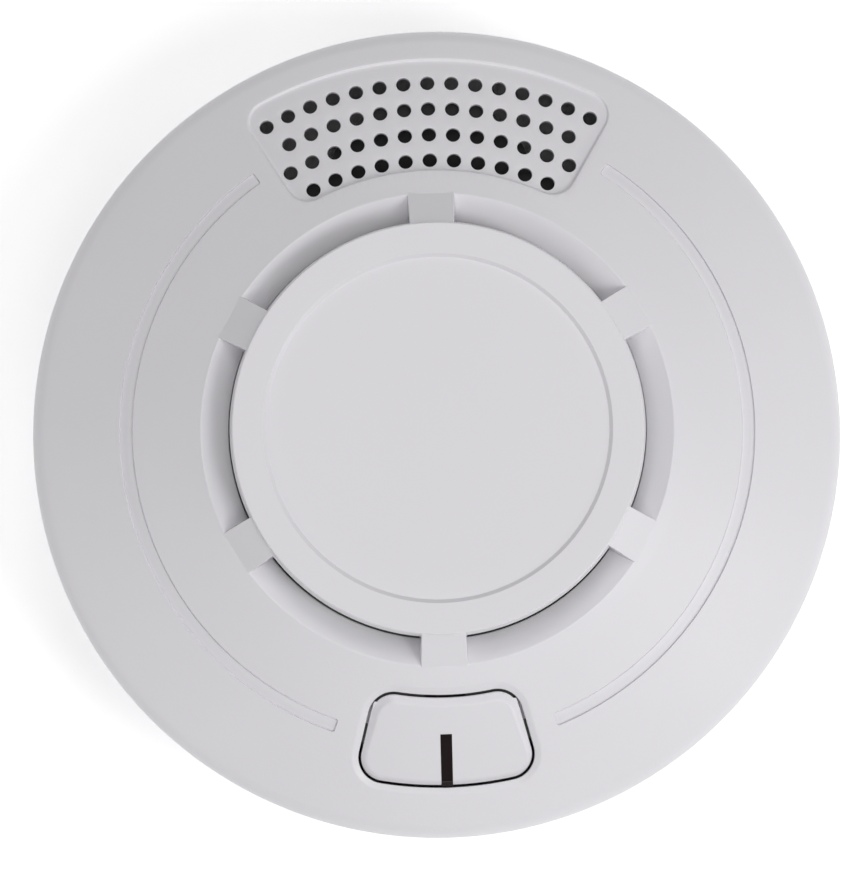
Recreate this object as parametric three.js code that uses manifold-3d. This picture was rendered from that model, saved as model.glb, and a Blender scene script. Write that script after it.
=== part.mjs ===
// A stand-alone optical smoke alarm for a ceiling, which twists off its mounting bracket.
// Millimetres. z = 0 is the ceiling and +Z points into the room.
// The sounder grille is on the +Y side of the face and the test button on the -Y side.

import * as THREE from 'three';
import { mergeVertices } from 'three/addons/utils/BufferGeometryUtils.js';
import Module from 'manifold-3d';

const wasm = await Module();
wasm.setup();

// ---------------------------------------------------------------- driving dimensions

const GAP = 0.3; // clearance between pieces that rest on or run in each other
const WALL = 2; // moulded wall of the casings
const THIN_WALL = 1.2; // moulded wall of the battery bay and the sounder housing

const RIM_RADIUS = 52.5;
const SHOULDER_RADIUS = 3; // round between the side wall and the sloping face
const SIDE_DRAFT = 0.3; // how far the side wall pulls in towards the seam
const SEAM_Z = 10;

const FACE_INNER = { r: 30.5, z: 32.4 }; // top edge of the sloping face, round the inlet ring
const FACE_SLOPE = 0.4444; // fall of the face for each millimetre outwards

const INLET_RADIUS = 26.65; // hole that the sensing chamber stands in
const MOAT_Z = 30.6; // the moat falls inwards from the face to this height
const COLLAR_BOTTOM_Z = 24.9;

const CAP = { topRadius: 26.1, skirtRadius: 26.5, topZ: 37, plateZ: 34.5, skirtZ: 34, edge: 0.6 };
const CAP_RECESS = { floorRadius: 21.8, topRadius: 22.5, depth: 0.5 };

const RIB_COUNT = 6;
const RIB_WIDTH = 5.8;
const RIB_TOE = { out: 0.7, rise: 0.8 }; // how far a rib reaches past the face's edge, and stands above it

const GROOVE = { inner: 39.1, outer: 40.9, depth: 0.35, fromTop: 33.8, fromBottom: 20.5 };

const GRILLE_ROWS = [[45.2, 15], [41.7, 13], [38.2, 13], [34.75, 11]]; // radius, number of holes
const GRILLE_PITCH = 3.11;
const GRILLE_HOLE = 0.93;
const GRILLE_PANEL = { inner: 33.2, outer: 48.6, half: 30.6, corner: 3.2, depth: 0.5 };

const BUTTON = { inner: 34.4, outer: 45.85, half: 15.05, corner: 2.8, thickness: 1.6 };
const BUTTON_TRAVEL = 0.8;
const CLOSEST = 0.05; // clearance left between the stem and the switch when the button is fully in
const BUTTON_GAP = 0.35;
const LUG = { inner: 35.6, outer: 38.6, from: 13, leg: 14.8, to: 17.2, thickness: 1 };
const WINDOW = { inner: 39.1, width: 1.5, thickness: 1.5, sunk: 0.15, fit: 0.1 };

const BRACKET = { radius: 49, opening: 22, thickness: 2.8 };
const HOOK = { inner: 41, outer: 45, post: 1.6, lip: 1.4, half: 4, angles: [90, 210, 330] };
const TWIST = 15; // degrees from locked to free
const SCREW_SLOT = { radius: 30, width: 4, headWidth: 7.6, headDepth: 1.8, half: 14 };

const CASE_SCREW = { circle: 45, angles: [5, 125, 245], shank: 1.35, head: 2.7, headHeight: 2.2 };
const BOSS_RADIUS = 3.2;
const SCREW_HOLE = CASE_SCREW.shank + GAP;
const SCREW_LENGTH = 13;

const BATTERY = { length: 46.5, width: 26.5, height: 17.5, left: -24.5, y: -8, corner: 2 };
const TERMINAL = { radius: 3, height: 2.3, spread: 6.35 };
const SNAP = { length: 4, width: 25, height: 13 };
const BAY_RIGHT = 30.6;

const BOARD = { radius: 41.2, thickness: 1.6, topEdge: 32.5, postCircle: 36, posts: [0, 180, 270] };

const SOUNDER = { y: 30, radius: 14, depth: 8.7, port: 4, plate: 12.2, ceramic: 9.5, leaf: 0.3, glue: 0.1 };

const CHAMBER_RADIUS = 21.6;
const CHAMBER_FLOOR = 1.6;
const VANE = { count: 16, circle: 18.8, length: 5.5, thickness: 0.9, turn: 50 };
const SCREEN = { inner: 22.2, outer: 22.7 };
const HOLDER = { radius: 12, length: 7, width: 6, height: 6, bore: 1.8 };

// ---------------------------------------------------------------- heights that stack up

const CASE_BACK_Z = BRACKET.thickness + GAP;
const CASE_FLOOR_Z = CASE_BACK_Z + WALL;
const BATTERY_Z = CASE_BACK_Z + GAP;
const BAY_CEILING_Z = BATTERY_Z + BATTERY.height + GAP;
const BAY_TOP_Z = BAY_CEILING_Z + THIN_WALL;
const BOARD_Z = BAY_TOP_Z + GAP;
const BOARD_TOP_Z = BOARD_Z + BOARD.thickness;
const PART_Z = BOARD_TOP_Z + GAP; // foot of everything that stands on the board
const CHAMBER_TOP_Z = CAP.plateZ - GAP;
const SKIN_Z = WALL * Math.hypot(1, FACE_SLOPE); // wall of the sloping face, measured upright

const radians = THREE.MathUtils.degToRad;
const faceHeight = (radius) => FACE_INNER.z - (radius - FACE_INNER.r) * FACE_SLOPE;

// ---------------------------------------------------------------- solids

function solid(geometry) {
  geometry.deleteAttribute('normal');
  geometry.deleteAttribute('uv');
  const merged = mergeVertices(geometry, 1e-4);
  const corners = merged.index.array;
  const triVerts = [];
  for (let i = 0; i < corners.length; i += 3) {
    const [a, b, c] = corners.subarray(i, i + 3);
    if (a !== b && b !== c && c !== a) triVerts.push(a, b, c);
  }
  return new wasm.Manifold(new wasm.Mesh({
    numProp: 3,
    vertProperties: Float32Array.from(merged.attributes.position.array),
    triVerts: Uint32Array.from(triVerts),
  }));
}

function geometryOf(body) {
  const mesh = body.getMesh();
  const geometry = new THREE.BufferGeometry();
  geometry.setAttribute('position', new THREE.BufferAttribute(mesh.vertProperties, 3));
  geometry.setIndex(new THREE.BufferAttribute(mesh.triVerts, 1));
  geometry.computeVertexNormals();
  return geometry;
}

const union = (...bodies) => bodies.reduce((whole, body) => whole.add(body));
const cut = (body, ...tools) => tools.reduce((left, tool) => left.subtract(tool), body);

// Spins a closed [radius, z] outline, listed anticlockwise, about the Z axis.
function revolve(outline, sides = 48) {
  const points = outline.map(([r, z]) => new THREE.Vector2(r, z));
  if (outline.every(([r]) => r > 0)) points.push(points[0].clone());
  return solid(new THREE.LatheGeometry(points, sides).rotateX(Math.PI / 2));
}

function cylinder(radius, bottom, top, x = 0, y = 0, sides = 16) {
  const geometry = new THREE.CylinderGeometry(radius, radius, top - bottom, sides);
  return solid(geometry.rotateX(Math.PI / 2).translate(x, y, (bottom + top) / 2));
}

function block([x0, x1], [y0, y1], [z0, z1]) {
  const geometry = new THREE.BoxGeometry(x1 - x0, y1 - y0, z1 - z0);
  return solid(geometry.translate((x0 + x1) / 2, (y0 + y1) / 2, (z0 + z1) / 2));
}

function prism(shape, bottom, top, curveSegments = 6) {
  const settings = { depth: top - bottom, bevelEnabled: false, curveSegments };
  return solid(new THREE.ExtrudeGeometry(shape, settings).translate(0, 0, bottom));
}

// A piece of a ring, centred on the direction `middle`, with rounded corners. Angles in degrees.
function ringPiece(inner, outer, middle, half, corner = 0) {
  const start = radians(middle - half);
  const end = radians(middle + half);
  const at = (radius, angle) => [radius * Math.cos(angle), radius * Math.sin(angle)];
  const shape = new THREE.Shape();
  shape.moveTo(...at(inner + corner, start));
  shape.lineTo(...at(outer - corner, start));
  if (corner) shape.quadraticCurveTo(...at(outer, start), ...at(outer, start + corner / outer));
  shape.absarc(0, 0, outer, start + corner / outer, end - corner / outer, false);
  if (corner) shape.quadraticCurveTo(...at(outer, end), ...at(outer - corner, end));
  shape.lineTo(...at(inner + corner, end));
  if (corner) shape.quadraticCurveTo(...at(inner, end), ...at(inner, end - corner / inner));
  shape.absarc(0, 0, inner, end - corner / inner, start + corner / inner, true);
  if (corner) shape.quadraticCurveTo(...at(inner, start), ...at(inner + corner, start));
  return shape;
}

// The layer between two surfaces that lie `low` and `high` above the sloping face.
function faceLayer(low, high) {
  const [near, far] = [INLET_RADIUS + WALL, RIM_RADIUS];
  return revolve([
    [near, faceHeight(near) + low],
    [far, faceHeight(far) + low],
    [far, faceHeight(far) + high],
    [near, faceHeight(near) + high],
  ]);
}

// A [radius, z] outline made into an upright plate of the given width, facing the given direction.
function radialPlate(outline, width, direction) {
  const shape = new THREE.Shape(outline.map(([r, z]) => new THREE.Vector2(r, z)));
  const geometry = new THREE.ExtrudeGeometry(shape, { depth: width, bevelEnabled: false });
  geometry.rotateX(Math.PI / 2).translate(0, width / 2, 0).rotateZ(radians(direction));
  return solid(geometry);
}

// A round wire or lead that runs through the given points.
function wire(points, radius, steps, sides = 8) {
  const section = new THREE.Shape().absarc(0, 0, radius, 0, 2 * Math.PI, false);
  const path = new THREE.CatmullRomCurve3(points.map((point) => new THREE.Vector3(...point)));
  const settings = { extrudePath: path, steps, bevelEnabled: false, curveSegments: sides / 2 };
  return solid(new THREE.ExtrudeGeometry(section, settings));
}

const onCircle = (radius, degrees) => [
  radius * Math.cos(radians(degrees)),
  radius * Math.sin(radians(degrees)),
];

// ---------------------------------------------------------------- mounting bracket

function mountingBracket() {
  const { radius, opening, thickness } = BRACKET;
  let plate = revolve([[opening, 0], [radius, 0], [radius, thickness], [opening, thickness]]);
  for (const side of [0, 180]) {
    const { width, headWidth, headDepth, half } = SCREW_SLOT;
    const slot = (size) => ringPiece(SCREW_SLOT.radius - size / 2, SCREW_SLOT.radius + size / 2, side, half);
    plate = cut(
      plate,
      prism(slot(width), -1, thickness),
      prism(slot(headWidth), thickness - headDepth, thickness + 1),
    );
  }
  for (const angle of HOOK.angles) {
    const lipZ = CASE_FLOOR_Z + GAP;
    const post = ringPiece(HOOK.inner, HOOK.inner + HOOK.post, angle, HOOK.half);
    const lip = ringPiece(HOOK.inner, HOOK.outer, angle, HOOK.half);
    plate = union(plate, prism(post, thickness - 1, lipZ + HOOK.lip), prism(lip, lipZ, lipZ + HOOK.lip));
  }
  return plate;
}

// ---------------------------------------------------------------- rear case

// Each hook enters the wide end of its slot and slides along the narrow part as the alarm is twisted.
function bayonetSlot(angle) {
  const fit = THREE.MathUtils.radToDeg(GAP / HOOK.inner);
  const half = HOOK.half + fit;
  const narrow = ringPiece(HOOK.inner - GAP, HOOK.inner + HOOK.post + GAP, angle - TWIST / 2, half + TWIST / 2);
  const wide = ringPiece(HOOK.inner - GAP, HOOK.outer + GAP, angle - TWIST, half);
  const [bottom, top] = [CASE_BACK_Z - 1, CASE_FLOOR_Z + 1];
  return union(prism(narrow, bottom, top), prism(wide, bottom, top));
}

function bayOutline(grow) {
  const halfWidth = BATTERY.width / 2 + GAP + grow;
  return [
    [BATTERY.left - GAP - grow, BAY_RIGHT + grow],
    [BATTERY.y - halfWidth, BATTERY.y + halfWidth],
  ];
}

function rearCase() {
  const wallRadius = RIM_RADIUS - SIDE_DRAFT;
  const lipRadius = wallRadius - WALL - GAP;
  const lipHeight = 2;
  const tray = revolve([
    [0, CASE_BACK_Z],
    [wallRadius - 1.5, CASE_BACK_Z],
    [wallRadius - 0.5, CASE_BACK_Z + 1],
    [wallRadius, SEAM_Z - GAP],
    [lipRadius, SEAM_Z - GAP],
    [lipRadius, SEAM_Z + lipHeight],
    [lipRadius - THIN_WALL, SEAM_Z + lipHeight],
    [lipRadius - THIN_WALL, CASE_FLOOR_Z],
    [0, CASE_FLOOR_Z],
  ]);
  let body = union(tray, block(...bayOutline(THIN_WALL), [CASE_BACK_Z, BAY_TOP_Z]));
  for (const direction of BOARD.posts) {
    const [x, y] = onCircle(BOARD.postCircle, direction);
    body = union(body, cylinder(2, CASE_BACK_Z + 1, BAY_TOP_Z, x, y));
  }
  for (const direction of CASE_SCREW.angles) {
    const [x, y] = onCircle(CASE_SCREW.circle, direction);
    body = union(body, cylinder(BOSS_RADIUS + 0.8, CASE_BACK_Z, SEAM_Z, x, y));
    body = cut(
      body,
      cylinder(SCREW_HOLE, CASE_BACK_Z - 1, SEAM_Z + 1, x, y),
      cylinder(CASE_SCREW.head + GAP, CASE_BACK_Z - 1, CASE_BACK_Z + GAP + CASE_SCREW.headHeight + GAP, x, y),
    );
  }
  const leadSlot = block([BAY_RIGHT - 3, BAY_RIGHT], [BATTERY.y - 5, BATTERY.y + 5], [BAY_TOP_Z - 2, BAY_TOP_Z + 1]);
  body = cut(body, block(...bayOutline(0), [CASE_BACK_Z - 1, BAY_CEILING_Z]), leadSlot);
  return cut(body, ...HOOK.angles.map(bayonetSlot));
}

// ---------------------------------------------------------------- front cover

// Side wall, sloping face, inlet moat and the collar round the sensing chamber, as one skin.
function coverSkin() {
  const slopeAngle = Math.atan(FACE_SLOPE);
  const centreR = RIM_RADIUS - SHOULDER_RADIUS;
  const tangentR = centreR + SHOULDER_RADIUS * Math.sin(slopeAngle);
  const centreZ = faceHeight(tangentR) - SHOULDER_RADIUS * Math.cos(slopeAngle);
  const shoulder = [];
  const steps = 3;
  for (let i = 0; i <= steps; i += 1) {
    const angle = (i / steps) * (Math.PI / 2 - slopeAngle);
    shoulder.push([centreR + SHOULDER_RADIUS * Math.cos(angle), centreZ + SHOULDER_RADIUS * Math.sin(angle)]);
  }
  const collarRadius = INLET_RADIUS + THIN_WALL;
  return revolve([
    [RIM_RADIUS - SIDE_DRAFT, SEAM_Z],
    ...shoulder,
    [FACE_INNER.r, FACE_INNER.z],
    [INLET_RADIUS, MOAT_Z],
    [INLET_RADIUS, COLLAR_BOTTOM_Z],
    [collarRadius, COLLAR_BOTTOM_Z],
    [collarRadius, MOAT_Z - WALL / 2],
    [FACE_INNER.r, FACE_INNER.z - SKIN_Z],
    [centreR, faceHeight(centreR) - SKIN_Z],
    [RIM_RADIUS - WALL, centreZ],
    [RIM_RADIUS - SIDE_DRAFT - WALL, SEAM_Z],
  ]);
}

function cap() {
  const { topRadius, skirtRadius, topZ, plateZ, skirtZ, edge } = CAP;
  const skirtInner = skirtRadius - WALL;
  const round = [0, 30, 60, 90].map((angle) => [
    topRadius - edge + edge * Math.cos(radians(angle)),
    topZ - edge + edge * Math.sin(radians(angle)),
  ]);
  return revolve([
    [0, plateZ],
    [skirtInner, plateZ],
    [skirtInner, skirtZ],
    [skirtRadius, skirtZ],
    ...round,
    [CAP_RECESS.topRadius, topZ],
    [CAP_RECESS.floorRadius, topZ - CAP_RECESS.depth],
    [0, topZ - CAP_RECESS.depth],
  ]);
}

// A rib carries the cap: it falls evenly from the cap's edge and rounds over on to the face.
function rib(direction) {
  const root = CAP.skirtRadius - WALL / 2;
  const foot = INLET_RADIUS + THIN_WALL / 2;
  const toe = FACE_INNER.r + RIB_TOE.out;
  const outline = [
    [root, CAP.topZ - WALL / 2],
    [root, COLLAR_BOTTOM_Z + WALL],
    [foot, COLLAR_BOTTOM_Z + WALL],
    [foot, MOAT_Z - WALL / 4],
    [toe - WALL / 4, faceHeight(toe) - WALL / 4],
    [toe, faceHeight(toe)],
    [toe - RIB_TOE.rise / 4, faceHeight(toe) + RIB_TOE.rise],
    [toe - RIB_TOE.rise, FACE_INNER.z + RIB_TOE.rise],
    [CAP.topRadius - CAP.edge / 2, CAP.topZ - CAP.edge / 2],
  ];
  return radialPlate(outline, RIB_WIDTH, direction);
}

function screwBoss(direction) {
  const [x, y] = onCircle(CASE_SCREW.circle, direction);
  const boss = cylinder(BOSS_RADIUS, SEAM_Z + GAP, FACE_INNER.z, x, y);
  const bore = cylinder(SCREW_HOLE, SEAM_Z, SEAM_Z + SCREW_LENGTH, x, y);
  return cut(boss, faceLayer(-WALL / 2, FACE_INNER.z), bore);
}

function grilleHoles() {
  const holes = [];
  for (const [radius, count] of GRILLE_ROWS) {
    const step = THREE.MathUtils.radToDeg(GRILLE_PITCH / radius);
    for (let i = 0; i < count; i += 1) {
      const [x, y] = onCircle(radius, 90 + (i - (count - 1) / 2) * step);
      holes.push(cylinder(GRILLE_HOLE, 0, FACE_INNER.z, x, y, 6));
    }
  }
  return holes;
}

function arcGroove(side) {
  const half = (180 - GROOVE.fromTop - GROOVE.fromBottom) / 2;
  const middle = side * (90 + GROOVE.fromTop + half) + (side < 0 ? 180 : 0);
  const strip = prism(ringPiece(GROOVE.inner, GROOVE.outer, middle, half), 0, CAP.topZ, 16);
  return strip.intersect(faceLayer(-GROOVE.depth, WALL));
}

function frontCover() {
  const { inner, outer, half, corner, depth } = GRILLE_PANEL;
  const panel = prism(ringPiece(inner, outer, 90, half, corner), 0, CAP.topZ).intersect(faceLayer(-depth, WALL));
  const buttonHole = ringPiece(
    BUTTON.inner - BUTTON_GAP,
    BUTTON.outer + BUTTON_GAP,
    270,
    BUTTON.half + THREE.MathUtils.radToDeg(BUTTON_GAP / BUTTON.inner),
    BUTTON.corner,
  );
  let cover = union(coverSkin(), cap());
  for (let i = 0; i < RIB_COUNT; i += 1) cover = union(cover, rib(90 + (i * 360) / RIB_COUNT));
  cover = cut(cover, arcGroove(1), arcGroove(-1), panel, ...grilleHoles(), prism(buttonHole, SEAM_Z, CAP.topZ));
  return union(cover, ...CASE_SCREW.angles.map(screwBoss));
}

// ---------------------------------------------------------------- test button and its switch

const SPRING = { x: 5.5, y: -36.6, radius: 1.9, wire: 0.2, turns: 3, seatZ: 27.2, seat: 2.4 };
const SWITCH = { y: -35.8, size: 5.2, height: 1.7, plunger: 1.2, rise: 0.6, well: 1.1, travel: 0.25 };
const SWITCH_TOP_Z = PART_Z + SWITCH.height;
const STEM_BOTTOM_Z = SWITCH_TOP_Z + SWITCH.rise + BUTTON_TRAVEL - SWITCH.travel + CLOSEST;
const STEM_RADIUS = 1.4;

function testButton() {
  const { inner, outer, half, corner, thickness } = BUTTON;
  const face = prism(ringPiece(inner, outer, 270, half, corner), 0, CAP.topZ);
  let button = face.intersect(faceLayer(-thickness, 0));
  const lugHigh = -SKIN_Z - GAP;
  const lugLow = lugHigh - LUG.thickness;
  for (const side of [-1, 1]) {
    const post = (to) => prism(
      ringPiece(LUG.inner, LUG.outer, 270 + (side * (LUG.from + to)) / 2, (to - LUG.from) / 2),
      0,
      CAP.topZ,
    );
    const seat = cylinder(SPRING.seat, SPRING.seatZ, FACE_INNER.z, side * SPRING.x, SPRING.y);
    button = union(
      button,
      post(LUG.leg).intersect(faceLayer(lugLow, -thickness / 2)),
      post(LUG.to).intersect(faceLayer(lugLow, lugHigh)),
      cut(seat, faceLayer(-thickness / 2, FACE_INNER.z)),
    );
  }
  const stem = cylinder(STEM_RADIUS, STEM_BOTTOM_Z, FACE_INNER.z, 0, SWITCH.y);
  const slotHalf = WINDOW.width / 2 + WINDOW.fit;
  const slot = block([-slotHalf, slotHalf], [-outer - 1, WINDOW.fit - WINDOW.inner], [SEAM_Z, CAP.topZ]);
  return cut(union(button, cut(stem, faceLayer(-thickness / 2, FACE_INNER.z))), slot);
}

function lightWindow() {
  const [near, far] = [WINDOW.inner, BUTTON.outer - WINDOW.sunk];
  const high = -WINDOW.sunk;
  const low = high - WINDOW.thickness;
  const outline = [
    [near, faceHeight(near) + low],
    [far, faceHeight(far) + low],
    [far, faceHeight(far) + high],
    [near, faceHeight(near) + high],
  ];
  return radialPlate(outline, WINDOW.width, 270);
}

// A coil spring standing on the board, with its foot at the origin.
function buttonSpring() {
  const height = SPRING.seatZ - GAP - PART_Z;
  const [bottom, top] = [SPRING.wire, height - SPRING.wire];
  const points = [];
  const stepsPerTurn = 10;
  for (let i = 0; i <= SPRING.turns * stepsPerTurn; i += 1) {
    const angle = (i / stepsPerTurn) * 2 * Math.PI;
    const z = bottom + ((top - bottom) * i) / (SPRING.turns * stepsPerTurn);
    points.push([SPRING.radius * Math.cos(angle), SPRING.radius * Math.sin(angle), z]);
  }
  return wire(points, SPRING.wire, SPRING.turns * stepsPerTurn, 6);
}

function switchBody() {
  const half = SWITCH.size / 2;
  const body = block([-half, half], [SWITCH.y - half, SWITCH.y + half], [PART_Z, SWITCH_TOP_Z]);
  return cut(body, cylinder(SWITCH.plunger + GAP, SWITCH_TOP_Z - SWITCH.well, SWITCH_TOP_Z + 1, 0, SWITCH.y));
}

function switchPlunger() {
  const bottom = SWITCH_TOP_Z - SWITCH.well + SWITCH.rise / 2;
  return cylinder(SWITCH.plunger, bottom, SWITCH_TOP_Z + SWITCH.rise, 0, SWITCH.y);
}

// ---------------------------------------------------------------- electronics

function circuitBoard() {
  const board = cylinder(BOARD.radius, BOARD_Z, BOARD_TOP_Z, 0, 0, 48);
  const far = 2 * BOARD.radius;
  return cut(
    board,
    cylinder(SOUNDER.radius + GAP, BOARD_Z - 1, BOARD_TOP_Z + 1, 0, SOUNDER.y, 48),
    block([-far, far], [BOARD.topEdge, far], [BOARD_Z - 1, BOARD_TOP_Z + 1]),
  );
}

function microcontroller() {
  const [length, width, height, pitch, pins] = [8.7, 4, 1.5, 1.27, 7];
  let chip = block([-width / 2, width / 2], [-length / 2, length / 2], [0.2, height]);
  for (let i = 0; i < pins; i += 1) {
    const y = (i - (pins - 1) / 2) * pitch;
    chip = union(chip, block([-width / 2 - 1, width / 2 + 1], [y - 0.2, y + 0.2], [0.2, 0.6]));
  }
  return chip;
}

function indicatorLed() {
  const body = block([-1.6, 1.6], [-0.8, 0.8], [0, 0.4]);
  return union(body, cylinder(0.7, 0.2, 0.7));
}

const electrolyticCapacitor = () => cut(
  cylinder(3.15, 0, 7.5),
  revolve([[2.7, 6.7], [4, 6.7], [4, 6.9], [2.7, 6.9]], 24),
);

const boostInductor = () => revolve([[0, 0], [4, 0], [4, 1], [2.6, 1.6], [2.6, 5], [4, 5.6], [4, 6.6], [0, 6.6]], 24);

// ---------------------------------------------------------------- battery

function batteryBody() {
  const { length, width, height, left, y, corner } = BATTERY;
  const [halfWidth, halfHeight] = [width / 2 - corner, height / 2 - corner];
  const section = new THREE.Shape();
  section.absarc(halfWidth, halfHeight, corner, 0, Math.PI / 2, false);
  section.absarc(-halfWidth, halfHeight, corner, Math.PI / 2, Math.PI, false);
  section.absarc(-halfWidth, -halfHeight, corner, Math.PI, 1.5 * Math.PI, false);
  section.absarc(halfWidth, -halfHeight, corner, 1.5 * Math.PI, 2 * Math.PI, false);
  const bar = new THREE.ExtrudeGeometry(section, { depth: length, bevelEnabled: false, curveSegments: 3 });
  bar.rotateY(Math.PI / 2).rotateX(Math.PI / 2);
  return solid(bar.translate(left, y, BATTERY_Z + height / 2));
}

const TERMINAL_X = BATTERY.left + BATTERY.length + GAP;
const TERMINAL_Z = BATTERY_Z + BATTERY.height / 2;

// A cylinder that lies along +X, from x = from to x = to.
function lyingCylinder(radius, from, to, y, z, sides = 24) {
  const geometry = new THREE.CylinderGeometry(radius, radius, to - from, sides);
  return solid(geometry.rotateZ(Math.PI / 2).translate((from + to) / 2, y, z));
}

const batteryTerminal = (side) => lyingCylinder(
  TERMINAL.radius, TERMINAL_X, TERMINAL_X + TERMINAL.height, BATTERY.y + side * TERMINAL.spread, TERMINAL_Z,
);

function batterySnap() {
  const left = TERMINAL_X + GAP;
  const [halfWidth, halfHeight] = [SNAP.width / 2, SNAP.height / 2];
  let snap = block([left, left + SNAP.length], [BATTERY.y - halfWidth, BATTERY.y + halfWidth],
    [TERMINAL_Z - halfHeight, TERMINAL_Z + halfHeight]);
  for (const side of [-1, 1]) {
    const y = BATTERY.y + side * TERMINAL.spread;
    snap = cut(snap, lyingCylinder(TERMINAL.radius + GAP, left - 1, TERMINAL_X + TERMINAL.height + GAP, y, TERMINAL_Z));
  }
  return snap;
}

// Each lead leaves the snap connector, turns up and ends under the board.
function batteryLead(side) {
  const y = BATTERY.y + side * 3;
  const start = TERMINAL_X + GAP + SNAP.length + GAP;
  const up = BAY_RIGHT - 1.3;
  return wire([[start, y, TERMINAL_Z], [start + 1, y, TERMINAL_Z + 0.4], [up, y, TERMINAL_Z + 3],
    [up, y, TERMINAL_Z + 6], [up, y, BOARD_Z - GAP]], 0.7, 14);
}

// ---------------------------------------------------------------- sounder

const SOUNDER_TOP_Z = BOARD_TOP_Z - GAP;
const SOUNDER_BOTTOM_Z = SOUNDER_TOP_Z - SOUNDER.depth;
const SOUNDER_PLATE_Z = SOUNDER_BOTTOM_Z + GAP;

function sounderHousing() {
  const { radius, port } = SOUNDER;
  let housing = revolve([
    [port, SOUNDER_TOP_Z - THIN_WALL],
    [radius - THIN_WALL, SOUNDER_TOP_Z - THIN_WALL],
    [radius - THIN_WALL, SOUNDER_BOTTOM_Z],
    [radius, SOUNDER_BOTTOM_Z],
    [radius, SOUNDER_TOP_Z],
    [port, SOUNDER_TOP_Z],
  ], 48);
  for (const side of [-1, 1]) {
    const foot = block([radius - 3.5, radius - 1], [-1, 3], [SOUNDER_TOP_Z - THIN_WALL, PART_Z + 1]);
    const ear = block([radius - 3.5, radius + 3], [-1, 3], [PART_Z, PART_Z + 1]);
    housing = union(housing, ...[foot, ear].map((arm) => (side < 0 ? arm.mirror([1, 0, 0]) : arm)));
  }
  return housing.translate([0, SOUNDER.y, 0]);
}

// The plate and the ceramic are leaves of one thickness, with a film of glue between them.
const sounderLeaf = (radius, bottom) => cylinder(radius, bottom, bottom + SOUNDER.leaf, 0, SOUNDER.y, 36);
const sounderPlate = () => sounderLeaf(SOUNDER.plate, SOUNDER_PLATE_Z);
const sounderCeramic = () => sounderLeaf(SOUNDER.ceramic, SOUNDER_PLATE_Z + SOUNDER.leaf + SOUNDER.glue);

// Each wire hangs under the sounder plate and comes up to the board beside the housing.
function sounderWire(side) {
  const x = side * 4;
  const low = SOUNDER_BOTTOM_Z - 1.2;
  const boardY = SOUNDER.y - SOUNDER.radius - 2.5;
  return wire([[x, SOUNDER.y - 8, SOUNDER_PLATE_Z - GAP], [x, SOUNDER.y - 9, low], [x, boardY + 2, low],
    [x, boardY, low + 2], [x, boardY, BOARD_Z - GAP]], 0.5, 16, 6);
}

// ---------------------------------------------------------------- sensing chamber

// The emitter and the receiver look at the middle of the chamber from directions that miss each other.
const OPTIC_DIRECTIONS = [205, 340];
const OPTIC_Z = PART_Z + CHAMBER_FLOOR + HOLDER.height / 2;

function chamberBase() {
  let base = cylinder(CHAMBER_RADIUS, PART_Z, PART_Z + CHAMBER_FLOOR, 0, 0, 48);
  for (const direction of OPTIC_DIRECTIONS) {
    const [near, far] = [HOLDER.radius - HOLDER.length / 2, HOLDER.radius + HOLDER.length / 2];
    const holder = block([near, far], [-HOLDER.width / 2, HOLDER.width / 2],
      [PART_Z + CHAMBER_FLOOR / 2, OPTIC_Z + HOLDER.height / 2]);
    const bore = lyingCylinder(HOLDER.bore, near - 1, far - 1, 0, OPTIC_Z, 16);
    base = union(base, cut(holder, bore).rotate([0, 0, direction]));
  }
  return base;
}

function opticPart(direction) {
  const near = HOLDER.radius - HOLDER.length / 2 + 0.8;
  return lyingCylinder(HOLDER.bore - GAP, near, near + 4.5, 0, OPTIC_Z, 16).rotate([0, 0, direction]);
}

function chamberCover() {
  const vaneBottom = PART_Z + CHAMBER_FLOOR + GAP;
  const roofZ = CHAMBER_TOP_Z - CHAMBER_FLOOR;
  let cover = cylinder(CHAMBER_RADIUS, roofZ, CHAMBER_TOP_Z, 0, 0, 48);
  for (let i = 0; i < VANE.count; i += 1) {
    const vane = block([-VANE.length / 2, VANE.length / 2], [-VANE.thickness / 2, VANE.thickness / 2],
      [vaneBottom, roofZ + CHAMBER_FLOOR / 2]);
    const placed = vane.rotate([0, 0, VANE.turn]).translate([VANE.circle, 0, 0]);
    cover = union(cover, placed.rotate([0, 0, (i * 360) / VANE.count]));
  }
  return cover;
}

const insectScreen = () => revolve([
  [SCREEN.inner, PART_Z],
  [SCREEN.outer, PART_Z],
  [SCREEN.outer, CHAMBER_TOP_Z],
  [SCREEN.inner, CHAMBER_TOP_Z],
], 48);

// ---------------------------------------------------------------- fasteners

// A pan-head screw with a cross recess, standing on its head at the origin.
function caseScrew() {
  const { shank, head, headHeight } = CASE_SCREW;
  const body = revolve([
    [0, 0],
    [head * 0.7, 0],
    [head, 0.7],
    [head, headHeight],
    [shank, headHeight],
    [shank, SCREW_LENGTH - 2],
    [0, SCREW_LENGTH],
  ], 16);
  const slot = block([-1.5, 1.5], [-0.3, 0.3], [-1, 1]);
  return cut(body, slot, slot.rotate([0, 0, 90]));
}

// ---------------------------------------------------------------- materials

const finish = (color, roughness, metalness = 0) => new THREE.MeshStandardMaterial({ color, roughness, metalness });

const coverPlastic = () => finish(0xdad8de, 0.5);
const casePlastic = () => finish(0xd4d2d8, 0.55);
const blackPlastic = () => finish(0x141416, 0.7);
const metal = (color) => finish(color, 0.3, 1);

// ---------------------------------------------------------------- assembly

function piece(name, body, material) {
  const mesh = new THREE.Mesh(geometryOf(body), material);
  mesh.name = name;
  return mesh;
}

function placed(mesh, x, y, z) {
  mesh.position.set(x, y, z);
  return mesh;
}

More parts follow.
